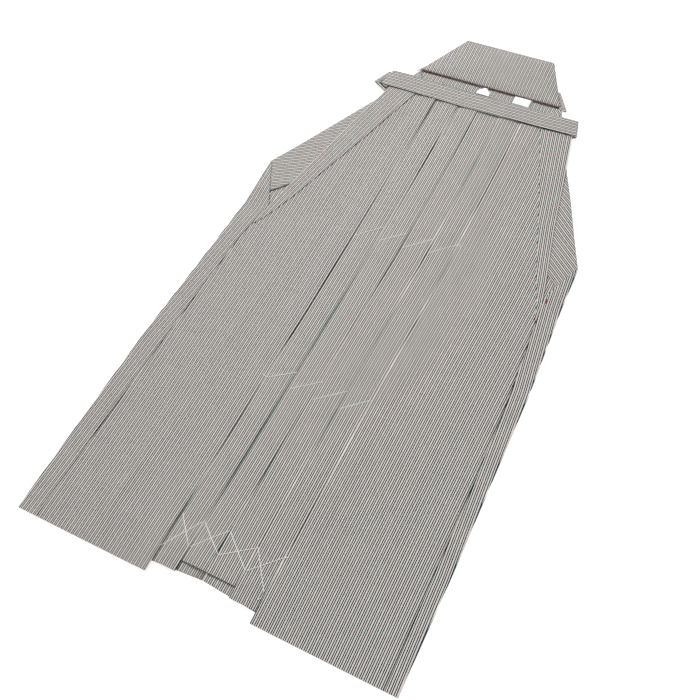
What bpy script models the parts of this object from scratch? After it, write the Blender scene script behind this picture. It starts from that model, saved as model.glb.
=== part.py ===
"""Hakama trousers laid flat, front up: each cut piece of cloth is a wall of its own.

Metres, +Z up. +X is the wearer's left, +Y runs from the hem to the waist, and the garment
lies on z = 0. A drop is a distance down from the waist seam, and a level counts cloth layers.
"""
import math

import bmesh
import bpy
from mathutils import Vector

MM = 0.001
CLOTH = 1.0 * MM
GAP = 0.3 * MM
LAYER = CLOTH + GAP
RIGHT, LEFT = -1, 1

HEM_DROP = 0.901
BOARD_HEIGHT = 0.084
WAIST_Y = (HEM_DROP - BOARD_HEIGHT) / 2
OPENING_DROP = 0.345
BAND_TOP_DROP = 0.019
BAND_WIDTH = 0.032

# Half widths of the front, from the centre line to its side edge.
FRONT_EDGE = (
    # drop, right, left
    (0.019, 0.141, 0.153),
    (0.055, 0.148, 0.160),
    (0.140, 0.170, 0.180),
    (0.220, 0.188, 0.198),
    (0.310, 0.209, 0.222),
    (0.345, 0.216, 0.230),
    (0.400, 0.226, 0.236),
    (0.500, 0.233, 0.246),
    (0.620, 0.239, 0.253),
    (0.750, 0.244, 0.258),
    (0.901, 0.250, 0.265),
)

# Half widths of the back, out to the fold where its side turns round to the front.
BACK_EDGE = (
    # drop, right, left
    (0.000, 0.118, 0.122),
    (0.018, 0.125, 0.130),
    (0.090, 0.159, 0.163),
    (0.165, 0.203, 0.202),
    (0.215, 0.231, 0.226),
    (0.256, 0.2555, 0.2465),
    (0.271, 0.2545, 0.254),
    (0.345, 0.2535, 0.2575),
    (0.480, 0.2625, 0.268),
    (0.600, 0.2715, 0.2725),
    (0.750, 0.277, 0.2785),
    (0.901, 0.282, 0.282),
)

# How far in the back's turned side reaches, above the side seam.
TURNED_EDGE = (
    # drop, right, left
    (0.000, 0.100, 0.100),
    (0.018, 0.106, 0.106),
    (0.070, 0.092, 0.092),
    (0.192, 0.086, 0.086),
    (0.268, 0.190, 0.190),
    (0.304, 0.236, 0.240),
    (0.345, 0.2163, 0.2303),
)

# The inner edge of the leaf fold that lies on each side of the front.
LEAF_EDGE = (
    # drop, right, left
    (0.019, 0.101, 0.108),
    (0.052, 0.101, 0.108),
    (0.187, 0.146, 0.161),
    (0.306, 0.187, 0.206),
    (0.345, 0.204, 0.223),
    (0.372, 0.218, 0.2305),
)

# Where the front's pleats show, as x at the waist, at the side seam's top and at the hem.
PLEATS = {
    # name: waist, seam top, hem
    "P1": (-0.066, -0.067, -0.0735),
    "P2": (-0.028, -0.030, -0.039),
    "P3": (0.005, 0.007, -0.002),
    "P4": (0.041, 0.047, 0.042),
    "P5": (0.077, 0.083, 0.081),
}
PLEAT_DEPTH = 0.018
PLEAT_CLEAR = 0.002
OUTER_RISE = 0.014
FOLD_STEPS = 4

# Where each stretch of the front's hem ends, from the outer panel in to the middle.
HEM_OUTER = HEM_DROP
HEM_SECOND = 0.885
HEM_MIDDLE = 0.869
HEM_BACK_CENTRE = 0.880

# What the front lies on: its level at the middle and at the side, and where the slope lies.
BASE = (
    # drop, inner x, inner level, outer x, outer level
    (0.019, 0.085, 2.0, 0.108, 3.0),
    (0.095, 0.085, 2.0, 0.108, 3.0),
    (0.150, 0.100, 2.0, 0.160, 2.0),
    (0.285, 0.100, 2.0, 0.200, 2.0),
    (0.345, 0.100, 2.0, 0.215, 1.0),
    (0.901, 0.100, 2.0, 0.245, 1.0),
)

FRONT_ROWS = (0.0195, 0.055, 0.095, 0.150, 0.220, 0.285, 0.315, 0.345, 0.400, 0.500,
              0.620, 0.750, 0.860, 0.901)
BACK_ROWS = (0.0003, 0.018, 0.070, 0.120, 0.192, 0.230, 0.256, 0.271, 0.285, 0.304, 0.345,
             0.400, 0.500, 0.620, 0.750, 0.860, 0.901)
LEAF_ROWS = (0.0195, 0.055, 0.095, 0.150, 0.220, 0.285, 0.315, 0.345, 0.372)

BAND_Z = 7.75 * MM
BAND_FOLD_Z = 6.9 * MM
BAND_RETURN_Z = 2 * LAYER + CLOTH / 2
BAND_RETURN = 0.045
BAND_FOLD_LEAN = 0.008
BAND_END = {RIGHT: 0.168, LEFT: 0.159}

BOARD_TOP_HALF = (0.073, 0.0765)
BOARD_BOTTOM_HALF = (0.118, 0.120)
BOARD_THICK = 4.5 * MM
BOARD_ROUND = 1.2 * MM
LINING_DEPTH = 1.6 * MM

BACK_STRAP_REACH = {RIGHT: 0.0030, LEFT: 0.0095}
BACK_STRAP_TOP = 0.028
BACK_STRAP_LOW = -0.006
BACK_STRAP_RETURN_LOW = 0.0015
BACK_STRAP_RETURN = 0.030
BACK_STRAP_Z = 4.4 * MM

CLOTH_COLOUR = (0.26, 0.31, 0.30)
LINING_COLOUR = (0.20, 0.04, 0.04)
WHITE = (0.85, 0.85, 0.84)


def read_table(table, key, column):
    """The value in a table's column, straight between the rows on either side of the key."""
    if key <= table[0][0]:
        return table[0][column]
    for lower, upper in zip(table, table[1:]):
        if key <= upper[0]:
            share = (key - lower[0]) / (upper[0] - lower[0])
            return lower[column] + share * (upper[column] - lower[column])
    return table[-1][column]


def side_column(side):
    return 1 if side == RIGHT else 2


def front_edge(side, drop):
    return read_table(FRONT_EDGE, drop, side_column(side))


def back_edge(side, drop):
    return read_table(BACK_EDGE, drop, side_column(side))


def turned_edge(side, drop):
    """The inner edge of the back's turned side: it meets the front's edge below the opening."""
    if drop >= OPENING_DROP:
        return front_edge(side, drop) + GAP
    return read_table(TURNED_EDGE, drop, side_column(side))


def pleat_x(name, drop):
    waist, seam_top, hem = PLEATS[name]
    rows = ((BAND_TOP_DROP, waist), (OPENING_DROP, seam_top), (HEM_DROP, hem))
    return read_table(rows, drop, 1)


def base_level(x, drop):
    """How many layers lie under the front at a place."""
    inner_x = read_table(BASE, drop, 1)
    inner_level = read_table(BASE, drop, 2)
    outer_x = read_table(BASE, drop, 3)
    outer_level = read_table(BASE, drop, 4)
    share = (abs(x) - inner_x) / (outer_x - inner_x)
    share = min(max(share, 0.0), 1.0)
    return inner_level + share * (outer_level - inner_level)


def front_point(x, drop, level):
    """A point on the middle of the front's cloth, so many levels above what it lies on."""
    z = (base_level(x, drop) + level) * LAYER + CLOTH / 2
    return Vector((x, WAIST_Y - drop, z))


def fabric(name, colour, roughness=0.85):
    material = bpy.data.materials.new(name)
    material.use_nodes = True
    shader = material.node_tree.nodes["Principled BSDF"]
    shader.inputs["Base Color"].default_value = (*colour, 1.0)
    shader.inputs["Roughness"].default_value = roughness
    shader.inputs["Metallic"].default_value = 0.0
    return material


def add_object(name, mesh, colour, roughness=0.85):
    piece = bpy.data.objects.new(name, mesh)
    mesh.materials.append(fabric(name, colour, roughness))
    garment.objects.link(piece)
    return piece


def sheet(name, rows, colour=CLOTH_COLOUR):
    """A cloth wall: an open surface lofted through rows of points, thickened both ways."""
    mesh = bpy.data.meshes.new(name)
    count = len(rows[0])
    points = [point for row in rows for point in row]
    faces = []
    for row in range(len(rows) - 1):
        for place in range(count - 1):
            corner = row * count + place
            faces.append((corner, corner + 1, corner + count + 1, corner + count))
    mesh.from_pydata(points, [], faces)
    piece = add_object(name, mesh, colour)
    wall = piece.modifiers.new("wall", "SOLIDIFY")
    wall.thickness = CLOTH
    wall.offset = 0.0
    wall.use_even_offset = True
    return piece


def plate(name, outline, low, high, colour, rounding, roughness=0.85):
    """A flat piece of one outline, standing from low to high, with rounded edges."""
    mesh = bpy.data.meshes.new(name)
    shape = bmesh.new()
    corners = [shape.verts.new((x, y, low)) for x, y in outline]
    bottom = shape.faces.new(corners)
    bmesh.ops.recalc_face_normals(shape, faces=[bottom])
    raised = bmesh.ops.extrude_face_region(shape, geom=[bottom])
    top = [item for item in raised["geom"] if isinstance(item, bmesh.types.BMVert)]
    bmesh.ops.translate(shape, verts=top, vec=(0.0, 0.0, high - low))
    bmesh.ops.recalc_face_normals(shape, faces=shape.faces)
    shape.to_mesh(mesh)
    shape.free()
    piece = add_object(name, mesh, colour, roughness)
    edge = piece.modifiers.new("rounding", "BEVEL")
    edge.width = rounding
    edge.segments = 2
    edge.limit_method = "ANGLE"
    return piece


def fold(face, upper, lower, way):
    """Places round a fold: (place, level), from the upper level to the lower one."""
    radius = (upper - lower) / 2
    centre = face - way * (CLOTH / 2 + radius * LAYER)
    places = []
    for step in range(FOLD_STEPS + 1):
        angle = math.pi * (0.5 - step / FOLD_STEPS)
        reach = way * radius * LAYER * math.cos(angle)
        places.append((centre + reach, (upper + lower) / 2 + radius * math.sin(angle)))
    return places


def outer_panel(start, first_fold, count=7):
    """The front's outer panel: flat from its side edge, then up over the first pleat."""
    top = first_fold - PLEAT_DEPTH - PLEAT_CLEAR
    foot = top - OUTER_RISE
    places = []
    for step in range(count):
        places.append((start + (foot - start) * step / (count - 1), 0.0))
    places.append(((foot + top) / 2, 1.0))
    places.append((top, 2.0))
    return places


def leg_front_places(side, drop, pleats, hems, end):
    """One row across a leg's front: (place, level, hem) from its side edge inward.

    Places count inward on both legs, so that one rule folds both of them.
    """
    inward = -side
    faces = [inward * pleat_x(name, drop) for name in pleats]
    places = [(*spot, hems[0]) for spot in outer_panel(-front_edge(side, drop), faces[0])]
    for number, face in enumerate(faces):
        outer_hem, inner_hem = hems[number], hems[number + 1]
        if number > 0:
            low = faces[number - 1] + PLEAT_CLEAR
            high = face - PLEAT_DEPTH - PLEAT_CLEAR
            for share, level in ((0.0, 0.0), (0.25, 0.35), (0.5, 1.0), (0.75, 1.65), (1.0, 2.0)):
                places.append((low + (high - low) * share, level, outer_hem))
        places += [(*spot, outer_hem) for spot in fold(face, 2.0, 1.0, 1)]
        hidden = face - PLEAT_DEPTH
        last = number == len(faces) - 1
        if last and end is None:
            places.append((hidden, 1.0, inner_hem))
        else:
            places += [(*spot, inner_hem) for spot in fold(hidden, 1.0, 0.0, -1)]
    if end is not None:
        seam = inward * (pleat_x(end, drop) - PLEAT_DEPTH)
        places.append((faces[-1] + PLEAT_CLEAR, 0.0, hems[-1]))
        places.append((seam, 0.0, hems[-1]))
    return places


def leg_front(name, side, pleats, hems, end=None):
    """A leg's front, from the band to the hem, with its knife pleats."""
    rows = []
    for row_drop in FRONT_ROWS:
        row = []
        for number, (_, _, hem) in enumerate(leg_front_places(side, row_drop, pleats, hems, end)):
            drop = row_drop * hem / HEM_DROP
            place, level, _ = leg_front_places(side, drop, pleats, hems, end)[number]
            row.append(front_point(-side * place, drop, level))
        rows.append(row)
    sheet(name, rows)


def leg_back(name, side):
    """A leg's back: flat on the floor, its side folded round to the front."""
    rows = []
    for row_drop in BACK_ROWS:
        edge = back_edge(side, row_drop)
        turned = turned_edge(side, row_drop)
        places = [(GAP / 2, 0.0, HEM_BACK_CENTRE)]
        for share in (0.3, 0.6, 0.85):
            hem = HEM_BACK_CENTRE + share * (HEM_DROP - HEM_BACK_CENTRE)
            places.append((edge * share, 0.0, hem))
        places += [(place, level, HEM_DROP) for place, level in reversed(fold(edge, 1.0, 0.0, 1))]
        for share in (0.5, 1.0):
            places.append((edge + (turned - edge) * share, 1.0, HEM_DROP))
        row = []
        for place, level, hem in places:
            drop = row_drop * hem / HEM_DROP
            row.append(Vector((side * place, WAIST_Y - drop, level * LAYER + CLOTH / 2)))
        rows.append(row)
    sheet(name, rows)


def leaf_fold(name, side, first_pleat):
    """The leaf-shaped fold that lies on the side of the front and narrows to a point."""
    rows = []
    for drop in LEAF_ROWS:
        outer = front_edge(side, drop)
        inner = read_table(LEAF_EDGE, drop, side_column(side))
        panel = outer_panel(-outer, -side * pleat_x(first_pleat, drop))
        ladder = [(-place, level) for place, level in reversed(panel)]
        row = []
        for share in (0.0, 0.2, 0.5, 1.0):
            x = inner + (outer - inner) * share
            level = read_table(ladder, x, 1) + 1.0
            row.append(front_point(side * x, drop, level) + Vector((0.0, 0.0, 0.1 * MM)))
        rows.append(row)
    sheet(name, rows)


def gusset(name, side):
    """The inner leg's gusset, flat between the front and the back below the crotch."""
    crotch_drop, hem_drop = 0.420, 0.855
    outline = [
        (side * GAP, WAIST_Y - crotch_drop),
        (side * GAP, WAIST_Y - hem_drop),
        (side * 0.060, WAIST_Y - hem_drop),
        (side * 0.008, WAIST_Y - crotch_drop),
    ]
    plate(name, outline, LAYER, LAYER + CLOTH, CLOTH_COLOUR, 0.2 * MM)


def strap_end(side, top, low):
    """A folded end of the front strap: rows of cross lines, round the fold and back under."""
    lean = math.atan2(BAND_FOLD_LEAN, BAND_WIDTH)
    outward = Vector((side, 0.0, 0.0))
    inward = Vector((-side * math.cos(2 * lean), -math.sin(2 * lean), 0.0))
    radius = (BAND_FOLD_Z - BAND_RETURN_Z) / 2
    corners = (
        Vector((side * BAND_END[side], top, 0.0)),
        Vector((side * (BAND_END[side] + BAND_FOLD_LEAN), low, 0.0)),
    )
    rows = []
    for step in range(FOLD_STEPS + 3):
        angle = math.pi * (0.5 - step / (FOLD_STEPS + 2))
        short = (CLOTH / 2 + radius * (1 - math.cos(angle))) / math.cos(lean)
        way = outward if angle >= 0 else -inward
        z = (BAND_FOLD_Z + BAND_RETURN_Z) / 2 + radius * math.sin(angle)
        rows.append([corner - way * short + Vector((0.0, 0.0, z)) for corner in corners])
    rows.append([point + inward * BAND_RETURN for point in rows[-1]])
    return rows


def front_strap():
    """The band across the top of the front, with both ends folded under it."""
    top = WAIST_Y - BAND_TOP_DROP
    low = top - BAND_WIDTH
    right_end = strap_end(RIGHT, top, low)
    left_end = strap_end(LEFT, top, low)
    middle = []
    for x in (-0.148, -0.100, -0.050, 0.0, 0.050, 0.100, 0.140):
        middle.append([Vector((x, top, BAND_Z)), Vector((x, low, BAND_Z))])
    lines = list(reversed(right_end)) + middle + left_end
    rows = [[line[0], (line[0] + line[1]) / 2, line[1]] for line in lines]
    sheet("front_strap", rows)


def board_side(side, height):
    """The board's half width at a height above the waist seam."""
    column = 0 if side == RIGHT else 1
    share = height / BOARD_HEIGHT
    return BOARD_BOTTOM_HALF[column] * (1 - share) + BOARD_TOP_HALF[column] * share


def back_board():
    """The stiff trapezoid behind the waist, inner side up, and its lining's edge."""
    outline = []
    for side, height in ((RIGHT, 0.0), (LEFT, 0.0), (LEFT, BOARD_HEIGHT), (RIGHT, BOARD_HEIGHT)):
        outline.append((side * board_side(side, height), WAIST_Y + height))
    plate("back_board", outline, LAYER, LAYER + BOARD_THICK, CLOTH_COLOUR, BOARD_ROUND)
    lining = [
        (-BOARD_BOTTOM_HALF[0] + BOARD_ROUND, WAIST_Y - GAP - LINING_DEPTH),
        (BOARD_BOTTOM_HALF[1] - BOARD_ROUND, WAIST_Y - GAP - LINING_DEPTH),
        (BOARD_BOTTOM_HALF[1] - BOARD_ROUND, WAIST_Y - GAP),
        (-BOARD_BOTTOM_HALF[0] + BOARD_ROUND, WAIST_Y - GAP),
    ]
    low = 3 * LAYER
    plate("board_lining", lining, low, low + 1.2 * MM, LINING_COLOUR, 0.3 * MM)


def back_strap(name, side):
    """A back strap beside the board's lower corner, folded under and back below the board."""
    reach = BACK_STRAP_REACH[side]
    radius = (BACK_STRAP_Z - CLOTH / 2) / 2
    rows = []
    for step in range(FOLD_STEPS + 3):
        share = step / (FOLD_STEPS + 2)
        angle = math.pi * (0.5 - share)
        z = CLOTH / 2 + radius * (1 + math.sin(angle))
        low = BACK_STRAP_LOW + (BACK_STRAP_RETURN_LOW - BACK_STRAP_LOW) * share
        short = CLOTH / 2 + radius * (1 - math.cos(angle))
        row = []
        for height in (BACK_STRAP_TOP, (BACK_STRAP_TOP + low) / 2, low):
            x = board_side(side, height) + reach - short
            row.append(Vector((side * x, WAIST_Y + height, z)))
        rows.append(row)
    last = rows[-1]
    rows.append([point - Vector((side * BACK_STRAP_RETURN, 0.0, 0.0)) for point in last])
    first = []
    for point in rows[0]:
        x = board_side(side, point.y - WAIST_Y) + GAP
        if abs(point.x) > x + 0.2 * MM:
            first.append(Vector((side * x, point.y, point.z)))
    if len(first) == len(rows[0]):
        rows.insert(0, first)
    sheet(name, rows)


def spatula():
    """The plastic tongue at the middle of the board, tucked behind the band."""
    centre, half, neck = -0.003, 0.0105, 0.0035
    profile = (
        # drop, half width
        (0.0024, neck), (0.0050, neck), (0.0075, 0.0080), (0.0110, half), (0.0500, half),
        (0.0580, 0.0085), (0.0620, 0.0045),
    )
    right_side = [(centre - wide, WAIST_Y - drop) for drop, wide in profile]
    left_side = [(centre + wide, WAIST_Y - drop) for drop, wide in reversed(profile)]
    plate("spatula", right_side + left_side, LAYER, LAYER + CLOTH, WHITE, 0.3 * MM, 0.35)


def care_label():
    """A blank label hanging from the board's lower seam."""
    low_x, high_x, top_drop, low_drop = 0.0465, 0.0745, 0.0022, 0.036
    outline = [
        (low_x, WAIST_Y - low_drop),
        (high_x, WAIST_Y - low_drop),
        (high_x, WAIST_Y - top_drop),
        (low_x, WAIST_Y - top_drop),
    ]
    plate("label", outline, LAYER, LAYER + CLOTH, WHITE, 0.2 * MM)


for old in list(bpy.data.objects):
    bpy.data.objects.remove(old, do_unlink=True)
garment = bpy.data.collections.new("hakama_trousers")
bpy.context.scene.collection.children.link(garment)

leg_back("back_right", RIGHT)
leg_back("back_left", LEFT)
gusset("gusset_right", RIGHT)
gusset("gusset_left", LEFT)
leg_front("front_right", RIGHT, ("P1", "P2", "P3"),
          (HEM_OUTER, HEM_SECOND, HEM_MIDDLE, HEM_MIDDLE))
leg_front("front_left", LEFT, ("P5", "P4"), (HEM_OUTER, HEM_SECOND, HEM_MIDDLE), end="P3")
leaf_fold("leaf_fold_right", RIGHT, "P1")
leaf_fold("leaf_fold_left", LEFT, "P5")
front_strap()
back_board()
back_strap("back_strap_right", RIGHT)
back_strap("back_strap_left", LEFT)
spatula()
care_label()
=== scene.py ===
"""Hakama trousers laid flat with the front up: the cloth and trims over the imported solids.

Metres, +Z up. +X is the wearer's left, +Y runs from the hem to the waist, and the garment
lies on z = 0. A drop is a distance down from the waist seam.
"""
import math

import bmesh
import bpy
import numpy as np
from mathutils import Matrix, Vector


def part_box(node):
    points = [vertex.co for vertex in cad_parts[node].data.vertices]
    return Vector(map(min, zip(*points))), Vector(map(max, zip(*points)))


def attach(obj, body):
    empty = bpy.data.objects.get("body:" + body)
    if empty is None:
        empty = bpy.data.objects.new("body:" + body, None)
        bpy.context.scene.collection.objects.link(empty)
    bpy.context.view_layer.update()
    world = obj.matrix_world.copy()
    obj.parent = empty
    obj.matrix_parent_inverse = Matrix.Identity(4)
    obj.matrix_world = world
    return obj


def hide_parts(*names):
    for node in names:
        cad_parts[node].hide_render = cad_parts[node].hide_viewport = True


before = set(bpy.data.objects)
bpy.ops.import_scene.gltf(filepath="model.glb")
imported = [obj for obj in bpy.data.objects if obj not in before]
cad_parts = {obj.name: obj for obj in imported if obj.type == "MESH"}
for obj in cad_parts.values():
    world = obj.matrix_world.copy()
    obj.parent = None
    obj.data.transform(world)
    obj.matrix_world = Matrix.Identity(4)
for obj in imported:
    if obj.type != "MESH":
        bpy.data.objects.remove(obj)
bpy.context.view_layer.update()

# The cloth is a stiff silk woven in fine warp stripes: a ladder of dull red bars on cream,
# a band of dark teal, a single cream line and teal again. Fine ribs of weft run across it,
# and every piece is cut with the stripes along its length.
MM = 0.001
STRIPE_REPEAT = 5.73 * MM
LADDER_STEP = 0.93 * MM
LADDER_BAR = 0.55
RIB_STEP = 0.465 * MM
STRIPES = (
    # where it starts in the repeat, colour
    (0.000, "cream"),
    (0.030, "ladder"),
    (0.280, "cream"),
    (0.310, "teal"),
    (0.593, "cream"),
    (0.718, "teal"),
)
YARNS = {
    "cream": (0.90, 0.87, 0.81, 1.0),
    "ladder": (0.34, 0.18, 0.17, 1.0),
    "teal": (0.006, 0.026, 0.031, 1.0),
}
LADDER_NUMBER, LINE_NUMBER = 1, 4
LINE_RISE = 0.6
YARN_PATCHES = {"Scale": 45.0, "Detail": 3.0}
# how much the patches change it, and what they are added to
YARN_SHADE = (0.16, 0.92)
YARN_ROUGHNESS = (0.15, 0.52)


def feed(tree, node, values):
    """Feeds a node's sockets, each with a plain value or from another node's socket."""
    for name, value in values.items():
        if isinstance(value, bpy.types.NodeSocket):
            tree.links.new(value, node.inputs[name])
        else:
            node.inputs[name].default_value = value


def add_node(tree, kind, values=None, **settings):
    """A new node with its settings made and its sockets fed."""
    node = tree.nodes.new(kind)
    for setting, value in settings.items():
        setattr(node, setting, value)
    feed(tree, node, values or {})
    return node


def math_node(tree, operation, *values):
    """One arithmetic step; the values are sockets or plain numbers."""
    node = add_node(tree, "ShaderNodeMath", dict(enumerate(values)), operation=operation)
    return node.outputs[0]


def in_stripe(tree, place, number):
    """One inside a stripe of the table and nought outside it: past its start, short of its end."""
    after = math_node(tree, "GREATER_THAN", place, STRIPES[number][0])
    before = math_node(tree, "LESS_THAN", place, STRIPES[number + 1][0])
    return math_node(tree, "MULTIPLY", after, before)


def striped_weave_group():
    """Colour, thread height and roughness of the striped silk from its place in metres.

    The stripe is the fraction of the across measure in one repeat. The ladder's bars and the
    ribs are fractions of the along measure. A slow noise varies the yarns a little.
    """
    tree = bpy.data.node_groups.new("striped_weave", "ShaderNodeTree")
    for name, way, kind in (
        ("Place", "INPUT", "NodeSocketVector"),
        ("Colour", "OUTPUT", "NodeSocketColor"),
        ("Height", "OUTPUT", "NodeSocketFloat"),
        ("Roughness", "OUTPUT", "NodeSocketFloat"),
    ):
        tree.interface.new_socket(name, in_out=way, socket_type=kind)
    cloth_place = tree.nodes.new("NodeGroupInput").outputs["Place"]
    split = add_node(tree, "ShaderNodeSeparateXYZ", {0: cloth_place})
    across, along = split.outputs["X"], split.outputs["Y"]
    place = math_node(tree, "FRACT", math_node(tree, "DIVIDE", across, STRIPE_REPEAT))
    ramp = add_node(tree, "ShaderNodeValToRGB", {0: place})
    ramp.color_ramp.interpolation = "CONSTANT"
    steps = ramp.color_ramp.elements
    while len(steps) < len(STRIPES):
        steps.new(0.5)
    for step, (start, yarn) in zip(steps, STRIPES):
        step.position = start
        step.color = YARNS[yarn]
    rung = math_node(tree, "FRACT", math_node(tree, "DIVIDE", along, LADDER_STEP))
    gap = math_node(tree, "GREATER_THAN", rung, LADDER_BAR)
    bare = math_node(tree, "MULTIPLY", gap, in_stripe(tree, place, LADDER_NUMBER))
    yarns = add_node(
        tree,
        "ShaderNodeMix",
        {"Factor": bare, "A": ramp.outputs["Color"], "B": YARNS["cream"]},
        data_type="RGBA",
    )
    patches = add_node(tree, "ShaderNodeTexNoise", {**YARN_PATCHES, "Vector": cloth_place})
    shade = math_node(tree, "MULTIPLY_ADD", patches.outputs["Fac"], *YARN_SHADE)
    tint = add_node(
        tree,
        "ShaderNodeMix",
        {"Factor": 1.0, "A": yarns.outputs["Result"], "B": shade},
        data_type="RGBA",
        blend_type="MULTIPLY",
    )
    rib_turn = math_node(tree, "MULTIPLY", along, 2 * math.pi / RIB_STEP)
    rib = math_node(tree, "MULTIPLY_ADD", math_node(tree, "SINE", rib_turn), 0.5, 0.5)
    line = math_node(tree, "MULTIPLY", in_stripe(tree, place, LINE_NUMBER), LINE_RISE)
    results = {
        "Colour": tint.outputs["Result"],
        "Height": math_node(tree, "ADD", rib, line),
        "Roughness": math_node(tree, "MULTIPLY_ADD", patches.outputs["Fac"], *YARN_ROUGHNESS),
    }
    feed(tree, tree.nodes.new("NodeGroupOutput"), results)
    return tree


def new_material(name):
    """A material with its node tree and its shader."""
    material = bpy.data.materials.new(name)
    material.use_nodes = True
    return material, material.node_tree, material.node_tree.nodes["Principled BSDF"]


def striped_silk(name):
    """The striped silk as a material that reads the piece's own cloth map, in metres."""
    material, tree, shader = new_material(name)
    uv = add_node(tree, "ShaderNodeUVMap", uv_map="cloth")
    weave = add_node(tree, "ShaderNodeGroup", node_tree=WEAVE)
    feed(tree, weave, {"Place": uv.outputs["UV"]})
    relief_values = {"Strength": 0.25, "Distance": 0.02 * MM, "Height": weave.outputs["Height"]}
    bump = add_node(tree, "ShaderNodeBump", relief_values)
    finish = {
        "Base Color": weave.outputs["Colour"],
        "Roughness": weave.outputs["Roughness"],
        "Normal": bump.outputs["Normal"],
        "Specular IOR Level": 0.22,
        "Sheen Weight": 0.04,
    }
    feed(tree, shader, finish)
    return material


WEAVE = striped_weave_group()
SILK = striped_silk("striped_silk")

# The backs of the two legs are one length of cloth each, laid on the floor and sewn down the
# middle. Beside the opening the side is turned in as a slanting triangle. Below it the side
# wraps round to the front as a strip, with its upper end lying over the triangle.
RIGHT, LEFT = -1, 1
WALL = 0.45 * MM
LAYER = 1.3 * MM
BEND = LAYER / 2
TURN_STEPS = 8
HEM = 0.901
LAST_ROW = 0.4 * MM
WAIST_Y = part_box("back_board")[0][1]
OPENING = 0.345
MIDDLE_HEM = 0.880
MIDDLE_GAP = 0.15 * MM
BACK_TOP = 0.3 * MM
FRONT_EDGE = {
    "drop": (0.019, 0.055, 0.140, 0.220, 0.310, 0.345, 0.400, 0.500, 0.620, 0.750, 0.901),
    RIGHT: (0.141, 0.148, 0.170, 0.188, 0.209, 0.216, 0.226, 0.233, 0.239, 0.244, 0.250),
    LEFT: (0.153, 0.160, 0.180, 0.198, 0.222, 0.230, 0.236, 0.246, 0.253, 0.258, 0.265),
}
BACK_EDGE = {
    RIGHT: {
        "drop": (0.000, 0.018, 0.090, 0.165, 0.215, 0.256, 0.345, 0.480, 0.600, 0.750, 0.901),
        "width": (0.118, 0.125, 0.1615, 0.203, 0.231, 0.2555, 0.2535, 0.2625, 0.2715, 0.277,
                  0.282),
    },
    LEFT: {
        "drop": (0.000, 0.018, 0.090, 0.165, 0.215, 0.271, 0.345, 0.480, 0.600, 0.750, 0.901),
        "width": (0.122, 0.130, 0.163, 0.202, 0.226, 0.254, 0.2575, 0.268, 0.2725, 0.2785,
                  0.282),
    },
}
CORNER = {RIGHT: 0.256, LEFT: 0.271}
SLANT_TOP = 0.018
SELVEDGE = {
    # the width of the cloth from the middle seam, at two drops of the slanting fold
    RIGHT: ((0.220, 0.256), (0.3023, 0.3145)),
    LEFT: ((0.220, 0.271), (0.2938, 0.2938)),
}
TURN_IN_MOST = 0.120
CORNER_FAN = math.radians(22.0)
SEAM_CLEAR = 0.3 * MM
SEAM_GAP = {RIGHT: 1.3 * MM, LEFT: 0.0}
SEAM_GAP_DROP, SEAM_GAP_REACH = 0.745, 0.055
SEAM_TOP = 0.336
STRIP_RISE = 0.004
STRIP_SINK = (0.045, 0.035)


def front_edge(side, drop):
    return np.interp(drop, FRONT_EDGE["drop"], FRONT_EDGE[side])


def back_edge(side, drop):
    return np.interp(drop, BACK_EDGE[side]["drop"], BACK_EDGE[side]["width"])


def ease(share):
    """A smooth step: three times the square less twice the cube, held at 0 and 1."""
    share = np.clip(share, 0.0, 1.0)
    return share * share * (3.0 - 2.0 * share)


def lay(x, drop, z):
    """Points from their place across, their drop and their height, as one array."""
    return np.stack(np.broadcast_arrays(x, WAIST_Y - drop, z), axis=-1)


def half_turn(steps):
    """Cosines and sines of a half turn, from straight up round to straight down."""
    angle = math.pi * (0.5 - np.arange(steps + 1) / steps)
    return np.cos(angle), np.sin(angle)


def grid_mesh(name, grids, closed):
    """A mesh from grids, merged where they meet. Each grid is (points, across, along).

    The across and along measures go into the cloth map. A closed grid is a tube whose last
    column lies on its first: it gets flat ends, and its faces are turned outward.
    """
    points, faces, measures = [], [], []
    start = 0
    for grid, across, along in grids:
        rows, columns = grid.shape[:2]
        places = np.arange(rows * columns).reshape(rows, columns)
        corners = (places[:-1, :-1], places[:-1, 1:], places[1:, 1:], places[1:, :-1])
        quads = np.stack(corners, axis=-1).reshape(-1, 4)
        ends = [places[0, :-1][::-1], places[-1, :-1]] if closed else []
        flat = np.stack(np.broadcast_arrays(across, along), axis=-1).reshape(-1, 2)
        points.append(grid.reshape(-1, 3))
        faces += (quads + start).tolist() + [(end + start).tolist() for end in ends]
        measures += [flat[quads.reshape(-1)]] + [flat[end] for end in ends]
        start += rows * columns
    mesh = bpy.data.meshes.new(name)
    mesh.from_pydata(np.concatenate(points).tolist(), [], faces)
    cloth_map = mesh.uv_layers.new(name="cloth")
    cloth_map.data.foreach_set("uv", np.concatenate(measures).astype(np.float32).ravel())
    if closed or len(grids) > 1:
        welded = bmesh.new()
        welded.from_mesh(mesh)
        bmesh.ops.remove_doubles(welded, verts=welded.verts, dist=1e-6)
        if closed:
            bmesh.ops.recalc_face_normals(welded, faces=welded.faces)
        welded.to_mesh(mesh)
        welded.free()
    mesh.shade_smooth()
    return mesh


def place_piece(name, mesh, node, material):
    """The mesh as a piece that rides on the garment, and stands for its solid if it has one."""
    mesh.materials.append(material)
    piece = bpy.data.objects.new(name, mesh)
    bpy.context.scene.collection.objects.link(piece)
    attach(piece, "root")
    if node:
        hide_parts(node)
    return piece


def cloth_piece(name, grids, node, material=SILK, wall=WALL):
    """Cloth from open grids, with half of its wall put on either side of them."""
    piece = place_piece(name, grid_mesh(name, grids, False), node, material)
    thick = piece.modifiers.new("wall", "SOLIDIFY")
    thick.thickness = wall
    thick.offset = 0.0
    thick.use_even_offset = True
    return piece


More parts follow.
